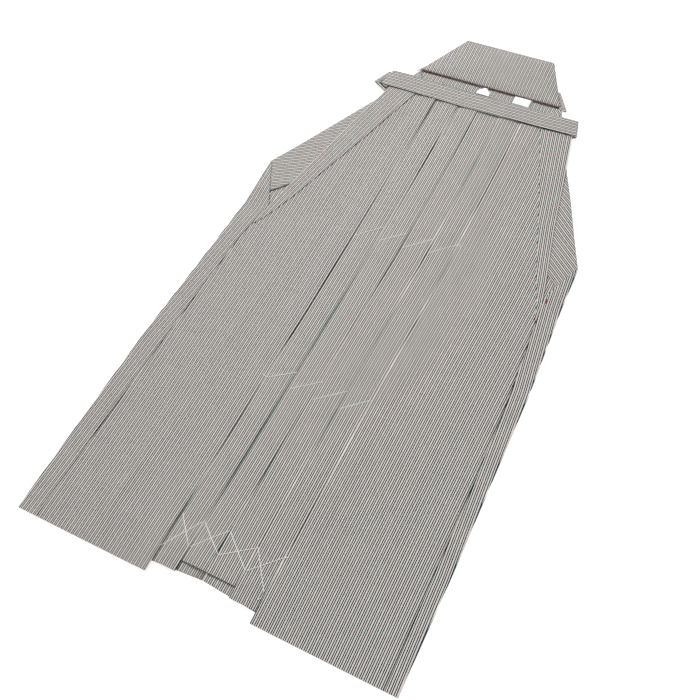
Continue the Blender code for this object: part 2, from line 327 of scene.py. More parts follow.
def cut_size(grids):
    """Width and length from the reach of the cloth map, and area over the grids' points."""
    area = 0.0
    for grid, _, _ in grids:
        over = np.diff(grid, axis=1)
        down = np.diff(grid, axis=0)
        area += 0.5 * np.linalg.norm(np.cross(over[:-1], down[:, :-1]), axis=-1).sum()
        area += 0.5 * np.linalg.norm(np.cross(over[1:], down[:, 1:]), axis=-1).sum()
    width = max(np.max(across) for _, across, _ in grids)
    width -= min(np.min(across) for _, across, _ in grids)
    length = max(np.max(along) for _, _, along in grids)
    length -= min(np.min(along) for _, _, along in grids)
    return float(width), float(length), area


def declare_sheet(grids):
    """Works out the cut of a piece: the rectangle that it was cut from, and its area. Nothing is
    done with them.
    """
    width, length, area = cut_size(grids)
    width = max(width, area / length)


def leg_back_grids(side):
    """The back in three sheets that meet along its side fold.

    The first runs from the middle seam to the fold and half round it. The second is the
    turned-in triangle: each of its rows leaves the slanting edge in the mirrored direction,
    and from its lower corner the rows fan out below the strip. The third is the strip, from
    the fold in to the side seam.
    """
    corner = CORNER[side]
    upper = np.linspace(BACK_TOP, corner, 46)
    lower = np.append(np.linspace(corner, HEM - LAST_ROW, 110)[1:], HEM)
    rows = np.concatenate([upper, lower])[:, None]
    edge = back_edge(side, rows)
    turn_cos, turn_sin = half_turn(TURN_STEPS)
    share = np.linspace(0.0, 1.0, 14)
    flat_x = MIDDLE_GAP + (edge - BEND - WALL / 2) * share
    flat_drop = rows * (MIDDLE_HEM + (HEM - MIDDLE_HEM) * share) / HEM
    bend_x = edge - WALL / 2 - BEND + BEND * turn_cos[::-1]
    bend_z = LAYER * (0.5 - 0.5 * turn_sin) + WALL / 2
    x = np.concatenate([flat_x, bend_x[:, 1:]], axis=1)
    drop = np.concatenate([flat_drop, np.repeat(rows, TURN_STEPS, axis=1)], axis=1)
    level_z = np.zeros_like(flat_x) + WALL / 2
    z = np.concatenate([level_z, np.broadcast_to(bend_z, bend_x.shape)[:, 1:]], axis=1)
    bottom = (lay(side * x, drop, z), x, drop)

    last = len(upper) - 1
    top_x = bend_x[:, -1:]
    slant_width = back_edge(side, corner) - back_edge(side, SLANT_TOP)
    slant = np.arctan2(slant_width, corner - SLANT_TOP)
    (high_row, low_row), (high_cut, low_cut) = SELVEDGE[side]
    cut = low_cut + (high_cut - low_cut) * (low_row - rows[: last + 1]) / (low_row - high_row)
    fan = np.linspace(0.0, CORNER_FAN, 8)[1:]
    turn = np.concatenate([np.zeros(last + 1), fan])[:, None]
    start_row = np.concatenate([np.arange(last + 1), np.full(len(fan), last)])
    reach = np.clip(cut - edge[: last + 1], 0.0, TURN_IN_MOST)[start_row] / np.cos(turn)
    reach = reach * np.linspace(0.0, 1.0, 24)
    in_x = top_x[start_row] - np.cos(2 * slant + turn) * reach
    in_drop = rows[start_row] + np.sin(2 * slant + turn) * reach
    triangle = (
        lay(side * in_x, in_drop, LAYER + WALL / 2),
        edge[start_row] + np.cos(turn) * reach,
        rows[start_row] + np.sin(turn) * reach,
    )

    strip_rows = rows[last:]
    start = top_x[last:]
    bell = np.exp(-(((strip_rows - SEAM_GAP_DROP) / SEAM_GAP_REACH) ** 4))
    seam_x = (
        float(start[0, 0]),
        front_edge(side, SEAM_TOP) - SEAM_CLEAR,
        front_edge(side, OPENING) + SEAM_CLEAR,
    )
    seam = np.where(
        strip_rows < OPENING,
        np.interp(strip_rows, (corner, SEAM_TOP, OPENING), seam_x),
        front_edge(side, strip_rows) + (SEAM_CLEAR + SEAM_GAP[side] * bell),
    )
    over = np.linspace(0.0, 1.0, 12)
    strip_x = start + (seam - start) * over
    sink = ease((strip_rows - corner - STRIP_SINK[0]) / STRIP_SINK[1])
    lift = ease((start - strip_x) / STRIP_RISE) * (1.0 - sink)
    strip_z = LAYER * (1.0 + lift) + WALL / 2
    strip_drop = np.repeat(strip_rows, len(over), axis=1)
    strip = (lay(side * strip_x, strip_drop, strip_z), 2 * start - strip_x, strip_drop)
    return [bottom, triangle, strip]


for name, side in (("back_right", RIGHT), ("back_left", LEFT)):
    back_grids = leg_back_grids(side)
    back = cloth_piece(name + "_cloth", back_grids, name)
    declare_sheet(back_grids)

# The inner legs are joined by a narrow gusset each, below the crotch. It is hidden between
# the front and the back, and only its edge can be seen from the hem.
GUSSET_TOP, GUSSET_HEM = 0.420, 0.855
GUSSET_WIDTHS = (0.008, 0.060)
GUSSET_SEAM = 0.4 * MM
GUSSET_COLUMNS = 6
for name, side in (("gusset_right", RIGHT), ("gusset_left", LEFT)):
    gusset_rows = np.linspace(GUSSET_TOP, GUSSET_HEM, 20)[:, None]
    gusset_width = np.interp(gusset_rows, (GUSSET_TOP, GUSSET_HEM), GUSSET_WIDTHS)
    gusset_x = GUSSET_SEAM + gusset_width * np.linspace(0.0, 1.0, GUSSET_COLUMNS)
    gusset_drop = np.repeat(gusset_rows, GUSSET_COLUMNS, axis=1)
    gusset_grid = [(lay(side * gusset_x, gusset_drop, LAYER + WALL / 2), gusset_x, gusset_drop)]
    gusset = cloth_piece(name + "_cloth", gusset_grid, name)
    declare_sheet(gusset_grid)

# The fronts are one wide length of cloth each, folded into flat knife pleats that run from
# the strap to the hem. The right leg has three and the left leg two. They all fold towards
# the middle, the outer panels lie on top, and the middle is stepped up at the hem.
BAND_DROP = 0.019
PLEATS = {
    # where the fold shows: at the waist, at the side seam's top and at the hem
    "P1": (-0.066, -0.067, -0.0735),
    "P2": (-0.028, -0.030, -0.039),
    "P3": (0.005, 0.007, -0.002),
    "P4": (0.041, 0.047, 0.042),
    "P5": (0.077, 0.083, 0.081),
}
PLEAT_DEPTH = 0.018
PLEAT_CLEAR = 0.002
OUTER_RISE = 0.014
PANEL_COLUMNS, RISE_COLUMNS, COVER_COLUMNS = 34, 9, 12
HEM_SECOND = 0.885
HEM_MIDDLE = 0.869
FRONT_TOP = 0.0195
FRONT_ROWS = np.append(np.linspace(FRONT_TOP, HEM - LAST_ROW, 190), HEM)
SIDE_TUCK = 1.5 * MM
SIDE_TUCK_FADE = (0.330, 0.030)
BASE = {
    "drop": (0.019, 0.095, 0.150, 0.285, 0.345, 0.860, 0.900),
    "inner x": (0.085, 0.085, 0.100, 0.100, 0.100, 0.100, 0.100),
    "inner level": (2.8, 2.2, 2.0, 2.0, 2.0, 1.8, 0.8),
    "outer x": (0.108, 0.108, 0.160, 0.200, 0.215, 0.245, 0.245),
    "outer level": (3.0, 3.0, 2.0, 2.0, 1.0, 0.9, 0.5),
}
CREASES = (
    # x and drop of one end, x and drop of the other, half width, height
    (-0.144, 0.430, -0.152, 0.600, 0.0060, 0.0007),
    (-0.144, 0.640, -0.171, 0.880, 0.0065, 0.0008),
    (-0.171, 0.660, -0.160, 0.895, 0.0060, 0.0006),
    (-0.136, 0.170, -0.139, 0.330, 0.0050, 0.0005),
    (-0.118, 0.300, -0.122, 0.520, 0.0070, 0.0004),
    (0.0800, 0.340, 0.0800, 0.680, 0.0045, 0.0005),
    (-0.056, 0.050, -0.050, 0.100, 0.0060, -0.0008),
    (-0.012, 0.065, -0.009, 0.125, 0.0050, -0.0008),
    (0.010, 0.040, 0.016, 0.150, 0.0040, 0.0005),
    (0.140, 0.180, 0.160, 0.480, 0.0100, 0.0005),
    (0.180, 0.520, 0.200, 0.860, 0.0090, 0.0005),
    (0.115, 0.560, 0.130, 0.890, 0.0080, 0.0004),
)
CREASE_FADE = 0.25
STEP = 0.52 * MM
LIFTS = (
    # x, drop, reach across, reach along, how many times further apart the pressed layers
    # lie there; where the number is below nought they lie closer
    (-0.066, 0.050, 0.012, 0.050, 0.8),
    (-0.072, 0.880, 0.012, 0.075, 1.6),
    (-0.001, 0.860, 0.014, 0.120, -0.5),
    (-0.028, 0.030, 0.010, 0.020, 0.5),
    (-0.035, 0.700, 0.012, 0.110, 0.4),
    (0.006, 0.200, 0.010, 0.060, 0.4),
    (0.004, 0.440, 0.010, 0.050, 0.4),
    (0.043, 0.740, 0.010, 0.070, 0.5),
    (0.047, 0.400, 0.016, 0.200, -0.4),
    (0.083, 0.450, 0.016, 0.120, -0.4),
)
SEAM_RIDGE = {RIGHT: 0.6 * MM, LEFT: 0.05 * MM}
SEAM_RIDGE_IN, SEAM_RIDGE_REACH = 0.0025, 0.0030
SEAM_RIDGE_FADE = (0.370, 0.080)
LEAN = {
    # how far the stripes lean to the wearer's right of the folds, in degrees, down the drop
    RIGHT: ((0.02, 0.15, 0.30, 0.45, 0.53, 0.61, 0.70, 0.78, 0.90),
            (-0.6, -0.8, 0.0, -0.5, 1.2, -0.6, 0.2, 1.4, 0.8)),
    LEFT: ((0.02, 0.14, 0.20, 0.30, 0.43, 0.52, 0.60, 0.73, 0.83, 0.90),
           (-1.2, -0.5, 0.6, 1.2, 1.8, 0.6, -0.3, -0.6, -1.5, -1.6)),
}


def pleat_x(name, drop):
    return np.interp(drop, (BAND_DROP, OPENING, HEM), PLEATS[name])


def base_level(x, drop):
    """How many layers lie under the front: level at the middle and at the side, sloping."""
    column = {key: np.interp(drop, BASE["drop"], BASE[key]) for key in BASE if key != "drop"}
    share = (np.abs(x) - column["inner x"]) / (column["outer x"] - column["inner x"])
    rise = column["outer level"] - column["inner level"]
    return column["inner level"] + rise * ease(share)


def relief(x, drop):
    """Soft ridges: a bell curve of the distance to each crease, faded at its ends."""
    height = np.zeros(np.broadcast(x, drop).shape)
    for x_start, drop_start, x_end, drop_end, width, crest in CREASES:
        run_x, run_drop = x_end - x_start, drop_end - drop_start
        length = math.hypot(run_x, run_drop)
        share = ((x - x_start) * run_x + (drop - drop_start) * run_drop) / length**2
        off = ((x - x_start) * run_drop - (drop - drop_start) * run_x) / length
        fade = ease(share / CREASE_FADE) * ease((1.0 - share) / CREASE_FADE)
        height += crest * fade * np.exp(-((off / width) ** 2))
    return height


def layer_step(x, drop):
    """How far apart the pressed layers lie: close, but more so many times in the lifts."""
    share = np.ones(np.broadcast(x, drop).shape)
    for x_mid, drop_mid, across, along, extra in LIFTS:
        share += extra * np.exp(-(((x - x_mid) / across) ** 2) - ((drop - drop_mid) / along) ** 2)
    return STEP * share


def front_height(x, drop, level):
    """The height of the middle of the cloth, so many layers above what the front lies on.

    Along the side seam the edge of the front stands up a little, in a narrow ridge.
    """
    edge = np.where(x < 0, front_edge(RIGHT, drop), front_edge(LEFT, drop)) - np.abs(x)
    crest = np.where(x < 0, SEAM_RIDGE[RIGHT], SEAM_RIDGE[LEFT])
    fade = ease((drop - SEAM_RIDGE_FADE[0]) / SEAM_RIDGE_FADE[1])
    ridge = crest * np.exp(-(((edge - SEAM_RIDGE_IN) / SEAM_RIDGE_REACH) ** 2)) * fade
    raised = level * layer_step(x, drop) + relief(x, drop) + ridge
    return base_level(x, drop) * LAYER + WALL / 2 + raised


def grain_drift(side, drop):
    """The lean's running sum down the drop: how far the stripes have shifted at each row."""
    at = np.linspace(0.0, HEM, 200)
    lean = np.tan(np.radians(np.interp(at, *LEAN[side])))
    run = np.concatenate([[0.0], np.cumsum((lean[1:] + lean[:-1]) / 2 * np.diff(at))])
    return -side * np.interp(drop, at, run)


def leg_front_grid(side, pleats, hems, end=None):
    """A pleated front as one grid: a row across it for each drop, folds and all.

    Each column is a place across, counted inward, at one level. A pleat is a rise over the
    hidden fold, a half turn at the fold that shows, and a half turn back at the hidden one.
    """
    inward = -side
    columns = []

    def column(place, level, hem):
        drop = FRONT_ROWS * hem / HEM
        columns.append((-side * place(drop), drop, np.full_like(drop, level)))

    def shown(number):
        return lambda drop: inward * pleat_x(pleats[number], drop)

    def between(first, last, share):
        return lambda drop: first(drop) * (1 - share) + last(drop) * share

    def moved(place, distance):
        return lambda drop: place(drop) + distance

    def side_start(drop):
        fade = ease((drop - SIDE_TUCK_FADE[0]) / SIDE_TUCK_FADE[1])
        return -front_edge(side, drop) + SIDE_TUCK * (1.0 - fade)

    turn_cos, turn_sin = half_turn(TURN_STEPS)
    top = moved(shown(0), -PLEAT_DEPTH - PLEAT_CLEAR)
    foot = moved(top, -OUTER_RISE)
    for share in np.linspace(0.0, 1.0, PANEL_COLUMNS):
        column(between(side_start, foot, share), 0.0, hems[0])
    for share in np.linspace(0.0, 1.0, RISE_COLUMNS)[1:]:
        column(between(foot, top, share), 2.0 * ease(share), hems[0])
    for number in range(len(pleats)):
        face = shown(number)
        if number > 0:
            low = moved(shown(number - 1), PLEAT_CLEAR)
            high = moved(face, -PLEAT_DEPTH - PLEAT_CLEAR)
            for share in np.linspace(0.0, 1.0, COVER_COLUMNS):
                column(between(low, high, share), 2.0 * ease(share), hems[number])
        column(moved(face, -0.5 * PLEAT_DEPTH), 2.0, hems[number])
        for cos, sin in zip(turn_cos, turn_sin):
            bend = -WALL / 2 - BEND + BEND * cos
            column(moved(face, bend), 1.5 + 0.5 * sin, hems[number])
        hidden = moved(face, -PLEAT_DEPTH)
        if number == len(pleats) - 1 and end is None:
            column(hidden, 1.0, hems[number + 1])
            continue
        for cos, sin in zip(turn_cos, turn_sin):
            bend = WALL / 2 + BEND - BEND * cos
            column(moved(hidden, bend), 0.5 + 0.5 * sin, hems[number + 1])
    if end is not None:
        low = moved(shown(len(pleats) - 1), PLEAT_CLEAR)
        seam = moved(lambda drop: inward * pleat_x(end, drop), PLEAT_DEPTH)
        for share in np.linspace(0.0, 1.0, COVER_COLUMNS):
            column(between(low, seam, share), 0.0, hems[-1])
    x, drop, level = (np.stack(values, axis=1) for values in zip(*columns))
    grid = lay(x, drop, front_height(x, drop, level))
    steps = np.linalg.norm(np.diff(grid[:, :, ::2], axis=1), axis=-1)
    across = np.concatenate([np.zeros((len(grid), 1)), np.cumsum(steps, axis=1)], axis=1)
    first_fold = PANEL_COLUMNS + RISE_COLUMNS
    across = across - across[:, first_fold:first_fold + 1] + grain_drift(side, drop)
    return [(grid, across, drop)]


FRONTS = {}
for name, side, pleats, hems, end in (
    ("front_right", RIGHT, ("P1", "P2", "P3"), (HEM, HEM_SECOND, HEM_MIDDLE, HEM_MIDDLE), None),
    ("front_left", LEFT, ("P5", "P4"), (HEM, HEM_SECOND, HEM_MIDDLE), "P3"),
):
    front_grids = leg_front_grid(side, pleats, hems, end)
    FRONTS[name] = front_grids[0][0]
    front = cloth_piece(name + "_cloth", front_grids, name)
    declare_sheet(front_grids)

# The leaf folds are the sides of the front turned back on it, from the strap down to the
# top of the side seam, where each narrows to a point. The stripes run along the outer fold.
LEAF_EDGE = {
    "drop": (0.019, 0.052, 0.187, 0.306, 0.345, 0.372),
    RIGHT: (0.101, 0.101, 0.146, 0.187, 0.204, 0.218),
    LEFT: (0.108, 0.108, 0.161, 0.206, 0.223, 0.2305),
}
LEAF_GRAIN = math.cos(math.radians(13.0))
LEAF_END = 0.372
LEAF_CLEAR = 0.1 * MM
LEAF_LEAST = 0.8 * MM


def leaf_fold_grids(side, first_pleat):
    """A leaf fold: a sheet one layer above the front, turned down at its outer edge."""
    drop = np.linspace(FRONT_TOP, LEAF_END, 90)[:, None]
    outer = front_edge(side, drop) - LEAF_CLEAR
    inner = np.interp(drop, LEAF_EDGE["drop"], LEAF_EDGE[side])
    bend_start = outer - BEND - WALL / 2
    inner = np.minimum(inner, bend_start - LEAF_LEAST)
    flat_x = inner + (bend_start - inner) * np.linspace(0.0, 1.0, 22)
    top = side * pleat_x(first_pleat, drop) + PLEAT_DEPTH + PLEAT_CLEAR
    under = 2.0 * ease(1.0 - (flat_x - top) / OUTER_RISE)
    turn_cos, turn_sin = half_turn(TURN_STEPS)
    bend_x = bend_start + BEND * turn_cos
    x = np.concatenate([flat_x, bend_x[:, 1:]], axis=1)
    level = np.concatenate(
        [under + 1.0, np.broadcast_to(0.5 + 0.5 * turn_sin, bend_x.shape)[:, 1:]], axis=1
    )
    down = np.repeat(drop, x.shape[1], axis=1)
    z = front_height(side * x, down, level) + LEAF_CLEAR
    across = (outer - x) * LEAF_GRAIN
    return [(lay(side * x, down, z), across, down / LEAF_GRAIN)]


for name, side, first_pleat in (
    ("leaf_fold_right", RIGHT, "P1"),
    ("leaf_fold_left", LEFT, "P5"),
):
    leaf_grids = leaf_fold_grids(side, first_pleat)
    leaf = cloth_piece(name + "_cloth", leaf_grids, name)
    declare_sheet(leaf_grids)

# The front strap is a flat tube of the same silk, cut along the stripes and sewn over the top
# of the front. Past the sides of the front it is folded under at a slant, and it runs back
# between the front and the back.
BAND = {
    "x": (-0.170, -0.075, 0.040, 0.100, 0.160),
    "top": (0.0207, 0.0213, 0.0228, 0.0222, 0.0206),
    "low": (0.0536, 0.0533, 0.0530, 0.0516, 0.0500),
}
BAND_SPAN = (-0.148, 0.146)
BAND_Z = 6.2 * MM
STRAP_ENDS = {
    # side, the fold's two ends as x and drop, height on the way in and on the way back,
    # length of the way back
    "right": (RIGHT, ((-0.1574, 0.0214), (-0.1640, 0.0536)), BAND_Z, 5.12 * MM, 0.012),
    "left": (LEFT, ((0.1575, 0.0208), (0.1655, 0.0500)), 6.15 * MM, 3.0 * MM, 0.030),
    "under": (RIGHT, ((-0.1635, 0.0242), (-0.1775, 0.0518)), 4.05 * MM, 2.9 * MM, 0.030),
}
UNDER_HEADING = math.radians(27.0)
STRAP_HALF = 0.5 * MM
STRAP_TURN_STEPS = 14
STRAP_SECTION = (
    # share across, share of the half thickness: a flat loop, nipped in between its layers
    (-0.484, 1.0), (-0.40, 1.0), (-0.2, 1.0), (0.0, 1.0), (0.2, 1.0), (0.40, 1.0), (0.484, 1.0),
    (0.498, 0.72), (0.500, 0.45), (0.490, 0.08), (0.490, -0.08), (0.500, -0.45),
    (0.498, -0.72), (0.484, -1.0), (0.2, -1.0), (-0.2, -1.0), (-0.484, -1.0), (-0.498, -0.72),
    (-0.500, -0.45), (-0.490, -0.08), (-0.490, 0.08), (-0.500, 0.45), (-0.498, 0.72),
)


def distance_along(path):
    """The distance run along a path at each of its points: the running sum of its legs."""
    legs = np.linalg.norm(np.diff(path, axis=0), axis=1)
    return np.concatenate([[0.0], np.cumsum(legs)])


def strap_grid(lines):
    """A strap's flat tube carried along its cross lines: (grid, across, along).

    lines holds both ends of each cross line. A section point lies across the line by its
    first share and off it, square to the line and to the run, by its second.
    """
    middle = lines.mean(axis=1)
    over = lines[:, 1] - lines[:, 0]
    normal = np.cross(np.gradient(middle, axis=0), over)
    normal /= np.linalg.norm(normal, axis=1, keepdims=True)
    section = np.array(STRAP_SECTION + STRAP_SECTION[:1])
    grid = (
        middle[:, None]
        + over[:, None] * section[None, :, :1]
        - normal[:, None] * section[None, :, 1:] * STRAP_HALF
    )
    width = np.linalg.norm(over, axis=1, keepdims=True)
    return grid, width * section[:, 0], distance_along(middle)[:, None]


def tube_piece(name, tubes, node, material=SILK):
    """Closed tubes from grids whose last column lies on the first, with flat ends."""
    return place_piece(name, grid_mesh(name, tubes, True), node, material)


def strap_end_lines(side, fold, high, low, back, heading=None):
    """Cross lines round a slanting fold and back under it, in the mirrored direction.

    fold holds both ends of the fold's outermost line, as x and drop. The strap comes in at
    the height high, turns in a half circle and runs back at the height low. A heading, where
    it is given, is the way back's own slope in place of the mirrored one.
    """
    (x_top, drop_top), (x_low, drop_low) = fold
    slant = math.atan2(abs(x_low) - abs(x_top), drop_low - drop_top)
    heading = 2 * slant if heading is None else heading
    outward = np.array((side, 0.0, 0.0))
    inward = np.array((-side * math.cos(heading), -math.sin(heading), 0.0))
    bend = (high - low) / 2
    corners = np.array(((x_top, WAIST_Y - drop_top, 0.0), (x_low, WAIST_Y - drop_low, 0.0)))
    lines = []
    for cos, sin in zip(*half_turn(STRAP_TURN_STEPS)):
        short = (STRAP_HALF + bend * (1 - cos)) / math.cos(slant)
        way = outward if sin >= 0 else -inward
        lines.append(corners - way * short + np.array((0.0, 0.0, (high + low) / 2 + bend * sin)))
    last = lines[-1]
    return lines + [last + inward * distance for distance in np.linspace(0.0, back, 6)[1:]]


def band_lines():
    """Cross lines of the whole strap: the right end reversed, the band, then the left end.

    Two sines of its place across let the band sway a little.
    """
    band_x = np.linspace(*BAND_SPAN, 60)
    top = WAIST_Y - np.interp(band_x, BAND["x"], BAND["top"])
    low = WAIST_Y - np.interp(band_x, BAND["x"], BAND["low"])
    sway = 0.25 * MM * np.sin(band_x * 41.0) + 0.2 * MM * np.sin(band_x * 97.0 + 1.0)
    middle = [
        ((x, y_top + bow, BAND_Z + 0.5 * bow), (x, y_low + bow, BAND_Z - 0.5 * bow))
        for x, y_top, y_low, bow in zip(band_x, top, low, sway)
    ]
    right = strap_end_lines(*STRAP_ENDS["right"])
    return np.array(right[::-1] + middle + strap_end_lines(*STRAP_ENDS["left"]))


def under_lines():
    """Cross lines of the strap's next fold below its right end, which stands out further."""
    under = strap_end_lines(*STRAP_ENDS["under"], UNDER_HEADING)
    before = [under[0] + np.array((inward, 0.0, 0.0)) for inward in (0.010, 0.005)]
    return np.array(before + under)


strap_runs = (band_lines(), under_lines())
strap = tube_piece("front_strap_cloth", [strap_grid(run) for run in strap_runs], "front_strap")

# The back board is a stiff trapezoid covered in the same silk, its inner side up. It is sewn
# to the top of the back, and its lower edge shows the dark red lining that faces its cover. The
# lining's dark red is partly its own colour and partly painted shade of the gap under the edge.
BOARD = {
    "height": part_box("back_board")[1][1] - WAIST_Y,
    "bottom": {RIGHT: 0.118, LEFT: 0.120},
    "top": {RIGHT: 0.073, LEFT: 0.0765},
}
BOARD_LOW = LAYER
BOARD_RINGS = (
    # distance in from the outline, height above the board's underside
    (0.0020, 0.00000), (0.0006, 0.00005), (0.0000, 0.00030), (0.0000, 0.00085),
    (0.0003, 0.00130), (0.0009, 0.00162), (0.0022, 0.00195), (0.0050, 0.00235),
    (0.0090, 0.00280), (0.0150, 0.00335), (0.0220, 0.00385), (0.0300, 0.00425),
    (0.0360, 0.00445),
)
BOARD_CORNER = 0.0018
BOARD_TILT = math.radians(3.4)


def board_half(side, height):
    share = height / BOARD["height"]
    return BOARD["bottom"][side] * (1 - share) + BOARD["top"][side] * share


def rounded_outline(corners, radius, steps):
    """A closed outline with a curve at each corner, tangent to both of its sides."""
    share = np.linspace(0.0, 1.0, steps)[:, None]
    points = []
    for before, corner, after in zip(
        np.roll(corners, 1, axis=0), corners, np.roll(corners, -1, axis=0)
    ):
        back = (before - corner) / np.linalg.norm(before - corner)
        ahead = (after - corner) / np.linalg.norm(after - corner)
        half = math.acos(float(np.dot(back, ahead))) / 2
        start = corner + back * radius / math.tan(half)
        stop = corner + ahead * radius / math.tan(half)
        curve = (1 - share) ** 2 * start + 2 * share * (1 - share) * corner + share**2 * stop
        points.append(curve)
    return np.concatenate(points)


def ring_solid(outline, rings, low, steps_between):
    """A cushion-like solid: the outline drawn in by each ring's distance, at its height.

    Each point moves towards the outline's middle, scaled so that the nearest side moves in
    by the ring's distance.
    """
    closed = np.concatenate([outline, outline[:1]])
    dense = []
    for first, second in zip(closed, closed[1:]):
        count = max(1, int(np.linalg.norm(second - first) / steps_between))
        share = np.arange(count)[:, None] / count
        dense.append(first + (second - first) * share)
    dense = np.concatenate(dense)
    centre = (dense.max(axis=0) + dense.min(axis=0)) / 2
    nearest = np.ptp(dense[:, 1]) / 2
    rings = np.array(rings)
    scale = 1.0 - rings[:, :1, None] / nearest
    ring_xy = centre + (dense[None] - centre) * scale
    ring_z = np.broadcast_to(low + rings[:, 1:, None], (*ring_xy.shape[:2], 1))
    grid = np.concatenate([ring_xy, ring_z], axis=2)
    return np.concatenate([grid, grid[:, :1]], axis=1)


board_corners = np.array(
    [
        (side * board_half(side, height), WAIST_Y + height)
        for side, height in (
            (RIGHT, 0.0), (LEFT, 0.0), (LEFT, BOARD["height"]), (RIGHT, BOARD["height"]),
        )
    ]
)
board_outline = rounded_outline(board_corners, BOARD_CORNER, 6)
board_grid = ring_solid(board_outline, BOARD_RINGS, BOARD_LOW, 0.006)
board_x, board_y = board_grid[..., 0], board_grid[..., 1]
board_across = board_x * math.cos(BOARD_TILT) + board_y * math.sin(BOARD_TILT)
board_along = board_y * math.cos(BOARD_TILT) - board_x * math.sin(BOARD_TILT)
tube_piece("back_board_cloth", [(board_grid, board_across, board_along)], "back_board")


def plain_cloth(name, colour, roughness, thread):
    """A plain woven cloth: one colour varied by noise, with fine crossed threads as bump."""
    material, tree, shader = new_material(name)
    place = tree.nodes.new("ShaderNodeTexCoord").outputs["Object"]
    noise = add_node(tree, "ShaderNodeTexNoise", {"Scale": 300.0, "Vector": place})
    ramp = add_node(tree, "ShaderNodeValToRGB", {0: noise.outputs["Fac"]})
    ramp.color_ramp.elements[0].color = (*[value * 0.82 for value in colour], 1.0)
    ramp.color_ramp.elements[1].color = (*colour, 1.0)
    waves = add_node(tree, "ShaderNodeTexWave", {"Scale": 1.0 / thread, "Vector": place})
    relief_values = {"Strength": 0.3, "Distance": 0.05 * MM, "Height": waves.outputs["Fac"]}
    bump = add_node(tree, "ShaderNodeBump", relief_values)
    finish = {
        "Base Color": ramp.outputs["Color"],
        "Normal": bump.outputs["Normal"],
        "Roughness": roughness,
    }
    feed(tree, shader, finish)
    return material


# Painted shade: the lining strip's dark red is partly its own colour and partly stands in for the
# shade under the board's lower edge, whose side it covers.
LINING_AND_SHADE = plain_cloth("dark_red_lining_and_shade", (0.13, 0.040, 0.038), 0.75, 0.004)
LINING_Z = BOARD_LOW + 0.75 * MM
LINING_HALF = 0.5 * MM
lining_low, lining_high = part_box("board_lining")
lining_x = np.linspace(lining_low[0], lining_high[0], 80)
lining_bow = 0.25 * MM * np.sin(lining_x * 60.0) + 0.15 * MM * np.sin(lining_x * 170.0)
lining_drop = WAIST_Y - (lining_low[1] + lining_high[1]) / 2 - lining_bow
lining_edges = [lay(lining_x, lining_drop + way * LINING_HALF, LINING_Z) for way in (-1, 1)]
lining_tube = strap_grid(np.stack(lining_edges, axis=1))
tube_piece("board_lining_and_shade_edge", [lining_tube], "board_lining", LINING_AND_SHADE)

# The back straps leave the board at its lower corners. Each is folded under at once, and it
# lies below the board; the left one stands out as a short loop.
BACK_STRAP_REACH = {
    # beyond the board's edge, at the strap's top and at its lower corner
    RIGHT: (-0.0035, 0.0025),
    LEFT: (0.0040, 0.0100),
}
BACK_STRAP_TOP = 0.028
BACK_STRAP_LOW = -0.006
BACK_STRAP_RETURN_LOW = 0.0015
BACK_STRAP_RETURN = 0.030
BACK_STRAP_Z = 2.7 * MM
BACK_STRAP_STEPS = 12
BACK_STRAP_TUCK = 0.2 * MM


def back_strap_lines(side):
    """Cross lines from the board's edge out to the fold, round it, and back below the board."""
    reach = BACK_STRAP_REACH[side]
    bend = BACK_STRAP_Z / 2 - STRAP_HALF
    lines = []
    for step, (cos, sin) in enumerate(zip(*half_turn(BACK_STRAP_STEPS))):
        share = step / BACK_STRAP_STEPS
        low = BACK_STRAP_LOW + (BACK_STRAP_RETURN_LOW - BACK_STRAP_LOW) * share
        short = STRAP_HALF + bend * (1 - cos)
        z = STRAP_HALF + bend * (1 + sin)
        ends = [
            (side * (board_half(side, height) + out - short), WAIST_Y + height, z)
            for height, out in ((BACK_STRAP_TOP, reach[0]), (low, reach[1]))
        ]
        lines.append(np.array(ends))
    first, last = lines[0], lines[-1]
    for distance in np.linspace(0.0, BACK_STRAP_RETURN, 5)[1:]:
        lines.append(last - np.array((side * distance, 0.0, 0.0)))
    gap = np.array(
        [abs(x) - board_half(side, y - WAIST_Y) - BACK_STRAP_TUCK for x, y, _ in first]
    )
    if gap.min() > STRAP_HALF:
        lines.insert(0, first - np.stack([side * gap, 0 * gap, 0 * gap], axis=1))
    return np.array(lines)


for name, side in (("back_strap_right", RIGHT), ("back_strap_left", LEFT)):
    lines = back_strap_lines(side)
    back_strap = tube_piece(name + "_cloth", [strap_grid(lines)], name)

# The spatula is a thin tongue of white plastic fixed at the middle of the board's lower edge.
# It has a narrow neck, and it is tucked behind the front strap.
TONGUE = {
    "drop": (0.0024, 0.0050, 0.0075, 0.0110, 0.0500, 0.0580, 0.0620),
    "half width": (0.0035, 0.0035, 0.0080, 0.0105, 0.0105, 0.0085, 0.0045),
}
TONGUE_X = -0.003
TONGUE_RINGS = (
    # distance in from the outline, height above the tongue's underside
    (0.0006, 0.0), (0.00015, 0.00015), (0.0, 0.0004), (0.0, 0.0006), (0.00015, 0.0009),
    (0.0006, 0.0010), (0.0030, 0.0011), (0.0070, 0.00115),
)


def plain_plastic(name, colour, roughness):
    """Smooth moulded plastic with a faint unevenness in its gloss."""
    material, tree, shader = new_material(name)
    place = tree.nodes.new("ShaderNodeTexCoord").outputs["Object"]
    noise = add_node(tree, "ShaderNodeTexNoise", {"Scale": 120.0, "Vector": place})
    spread = {"To Min": roughness - 0.06, "To Max": roughness + 0.06}
    gloss = add_node(tree, "ShaderNodeMapRange", {**spread, "Value": noise.outputs["Fac"]})
    feed(tree, shader, {"Base Color": (*colour, 1.0), "Roughness": gloss.outputs["Result"]})
    return material


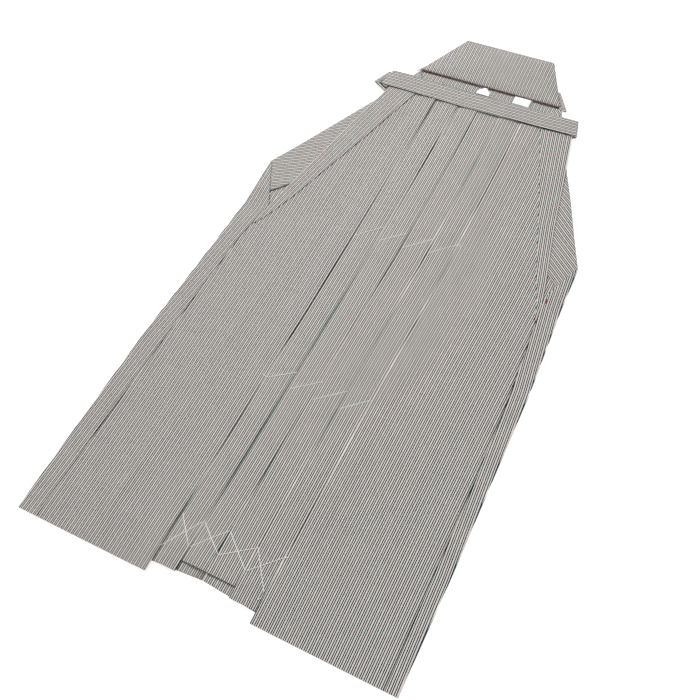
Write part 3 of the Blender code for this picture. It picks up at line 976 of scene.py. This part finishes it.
PLASTIC = plain_plastic("white_plastic", (0.86, 0.86, 0.85), 0.38)
tongue_drop = np.linspace(TONGUE["drop"][0], TONGUE["drop"][-1], 30)
tongue_half = np.interp(tongue_drop, TONGUE["drop"], TONGUE["half width"])
tongue_sides = [
    np.stack([TONGUE_X + way * tongue_half, WAIST_Y - tongue_drop], axis=1) for way in (-1, 1)
]
tongue_outline = np.concatenate([tongue_sides[0], tongue_sides[1][::-1]])
tongue_grid = ring_solid(tongue_outline, TONGUE_RINGS, LAYER, 0.003)
tongue_map = [(tongue_grid, tongue_grid[..., 0], tongue_grid[..., 1])]
tube_piece("spatula_tongue", tongue_map, "spatula", PLASTIC)

# The care label is a blank tab of white satin ribbon, caught in the seam below the board. It
# waves a little across its width.
LABEL = plain_cloth("white_label", (0.86, 0.86, 0.85), 0.6, 0.002)
LABEL_WALL = 0.5 * MM
LABEL_Z = LAYER + 0.4 * MM
label_low, label_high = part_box("label")
label_x = np.linspace(label_low[0], label_high[0], 14)
label_drop = np.linspace(WAIST_Y - label_high[1], WAIST_Y - label_low[1], 16)[:, None]
label_lift = 0.3 * MM * np.sin((label_x - label_x[0]) * 90.0) ** 2
label_map = [(lay(label_x, label_drop, LABEL_Z + label_lift), label_x[None], label_drop)]
label = cloth_piece("care_label_tab", label_map, "label", LABEL, LABEL_WALL)
declare_sheet(label_map)

# White basting threads hold the pleats flat for sale: a slanting stitch across each pleat in
# two rows, and a lattice of long stitches near the hem, with a loose tail at each end.
THREAD_HALF = 0.42 * MM
THREAD_STEP = 1.5 * MM
THREAD_BOW = 0.25 * MM
THREAD_PROUD = 0.7
STITCHES = (
    # x, drop of each point that one thread passes through
    ((-0.065, 0.337), (-0.031, 0.308)),
    ((-0.028, 0.332), (0.006, 0.306)),
    ((0.010, 0.331), (0.046, 0.299)),
    ((0.048, 0.326), (0.083, 0.295), (0.089, 0.300)),
    ((-0.075, 0.595), (-0.068, 0.597), (-0.031, 0.573)),
    ((-0.030, 0.600), (0.008, 0.572)),
    ((0.007, 0.602), (0.045, 0.571)),
    ((0.048, 0.599), (0.080, 0.571)),
    ((-0.070, 0.815), (-0.054, 0.833), (-0.039, 0.850)),
    ((-0.038, 0.850), (-0.001, 0.810)),
    ((0.000, 0.810), (0.044, 0.847)),
    ((0.045, 0.847), (0.080, 0.811), (0.086, 0.809)),
    ((-0.074, 0.865), (-0.038, 0.813)),
    ((-0.037, 0.813), (0.001, 0.843)),
    ((0.002, 0.843), (0.043, 0.814)),
    ((0.044, 0.814), (0.078, 0.859), (0.079, 0.869), (0.075, 0.872)),
)


def top_of_front(x, drop):
    """The height of the top of the front at a place: the highest cloth in that row."""
    highest = 0.0
    for grid in FRONTS.values():
        row = grid[int(np.argmin(np.abs(FRONT_ROWS - drop)))]
        first, second = row[:-1], row[1:]
        span = second[:, 0] - first[:, 0]
        inside = (first[:, 0] - x) * (second[:, 0] - x) <= 0.0
        share = np.where(np.abs(span) > 1e-9, (x - first[:, 0]) / np.where(span == 0, 1, span), 0)
        heights = first[:, 2] + (second[:, 2] - first[:, 2]) * share
        if inside.any():
            highest = max(highest, float(heights[inside].max()))
    return highest + WALL / 2


def thread_round(path):
    """A round thread along a path: a circle, square to the run, at each of its points."""
    run = np.gradient(path, axis=0)
    run /= np.linalg.norm(run, axis=1, keepdims=True)
    sideways = np.cross(run, (0.0, 0.0, 1.0))
    sideways /= np.linalg.norm(sideways, axis=1, keepdims=True)
    upward = np.cross(sideways, run)
    angle = np.linspace(0.0, 2 * math.pi, 9)
    grid = (
        path[:, None]
        + THREAD_HALF * np.cos(angle)[None, :, None] * sideways[:, None]
        + THREAD_HALF * np.sin(angle)[None, :, None] * upward[:, None]
    )
    return grid, THREAD_HALF * angle, distance_along(path)[:, None]


def stitch_tube(points):
    """A thread laid over the front through its points, sunk into the cloth by its lower part."""
    points = np.array(points)
    passed = distance_along(points)
    at = np.linspace(0.0, passed[-1], max(12, int(passed[-1] / THREAD_STEP)))
    x = np.interp(at, passed, points[:, 0])
    drop = np.interp(at, passed, points[:, 1])
    bow = THREAD_BOW * np.sin(at / passed[-1] * math.pi)
    z = np.array([top_of_front(*spot) for spot in zip(x, drop)])
    smooth = np.convolve(np.pad(z, 2, mode="edge"), np.ones(5) / 5, mode="valid")
    z = np.maximum(z, smooth) + THREAD_PROUD * THREAD_HALF
    return thread_round(lay(x, drop + bow, z))


def thread_piece(name, rounds, colour):
    """Round threads as one piece, in soft twisted cotton."""
    tube_piece(name, rounds, None, plain_cloth(name + "_cotton", colour, 0.8, 0.001))


basting_rounds = [stitch_tube(stitch) for stitch in STITCHES]
thread_piece("basting_threads", basting_rounds, (0.90, 0.90, 0.88))

# A short bar of dark red thread, three stitches side by side, tacks the top of the left side
# seam so that the opening above it can't tear on.
TACK_X, TACK_TOP, TACK_END = 0.2335, 0.3335, 0.3400
TACK_Z = 2.45 * MM
tack_drop = np.linspace(TACK_TOP, TACK_END, 14)
tack_rounds = []
for beside in (-1.4, 0.0, 1.4):
    wobble = 0.08 * MM * np.sin(tack_drop * 2400 + beside)
    tack_path = lay(TACK_X + beside * THREAD_HALF + wobble, tack_drop, TACK_Z)
    tack_rounds.append(thread_round(tack_path))
thread_piece("side_tack", tack_rounds, (0.24, 0.045, 0.040))

# The stage is a plain pale floor under soft studio light: a wide lamp beyond the waist, on the
# wearer's right, throws the short shadows of the folds, and a weak one and the room fill them.
FLOOR_SIZE = 12.0
FLOOR_Z = -0.2 * MM
bpy.ops.mesh.primitive_plane_add(size=FLOOR_SIZE, location=(0.0, 0.0, FLOOR_Z))
floor = bpy.context.active_object
floor.name = "floor"
paper, paper_tree, paper_shader = new_material("pale_floor")
paper_finish = {
    "Base Color": (0.50, 0.50, 0.50, 1.0),
    "Roughness": 0.9,
    "Specular IOR Level": 0.0,
    "Emission Color": (1.0, 1.0, 1.0, 1.0),
    "Emission Strength": 0.72,
}
feed(paper_tree, paper_shader, paper_finish)
paper.cycles.emission_sampling = "NONE"
floor.data.materials.append(paper)

world = bpy.data.worlds.new("studio")
world.use_nodes = True
room_light = {"Color": (0.96, 0.99, 1.0, 1.0), "Strength": 0.44}
feed(world.node_tree, world.node_tree.nodes["Background"], room_light)
bpy.context.scene.world = world
bpy.context.scene.view_settings.view_transform = "Standard"

LAMPS = (
    # name, place, size, watts
    ("key_lamp", (-4.5, 5.7, 6.3), 2.4, 890.0),
    ("fill_lamp", (1.8, -1.2, 2.4), 2.0, 17.0),
)
for name, place, size, watts in LAMPS:
    lamp = bpy.data.lights.new(name, "AREA")
    lamp.size = size
    lamp.energy = watts
    lamp_object = bpy.data.objects.new(name, lamp)
    lamp_object.location = place
    lamp_object.rotation_mode = "QUATERNION"
    lamp_object.rotation_quaternion = (-lamp_object.location).to_track_quat("-Z", "Y")
    bpy.context.scene.collection.objects.link(lamp_object)

# The camera looks down on the garment from beyond the hem, at the wearer's left, and is rolled
# a little, as in the photograph.
CAMERA_PLACE = (0.4948, -0.6694, 1.2252)
CAMERA_HEADING = math.radians(40.16)
CAMERA_TILT = math.radians(31.16)
CAMERA_ROLL = math.radians(-14.75)
CAMERA_LENS_PIXELS = 1036.8
CAMERA_SENSOR_WIDTH = 36.0
IMAGE_PIXELS = 700
camera_data = bpy.data.cameras.new("camera")
camera_data.sensor_width = CAMERA_SENSOR_WIDTH
camera_data.lens = CAMERA_SENSOR_WIDTH * CAMERA_LENS_PIXELS / IMAGE_PIXELS
camera = bpy.data.objects.new("camera", camera_data)
camera.matrix_world = (
    Matrix.Translation(CAMERA_PLACE)
    @ Matrix.Rotation(CAMERA_HEADING, 4, "Z")
    @ Matrix.Rotation(CAMERA_TILT, 4, "X")
    @ Matrix.Rotation(CAMERA_ROLL, 4, "Z")
)
bpy.context.scene.collection.objects.link(camera)
bpy.context.scene.camera = camera
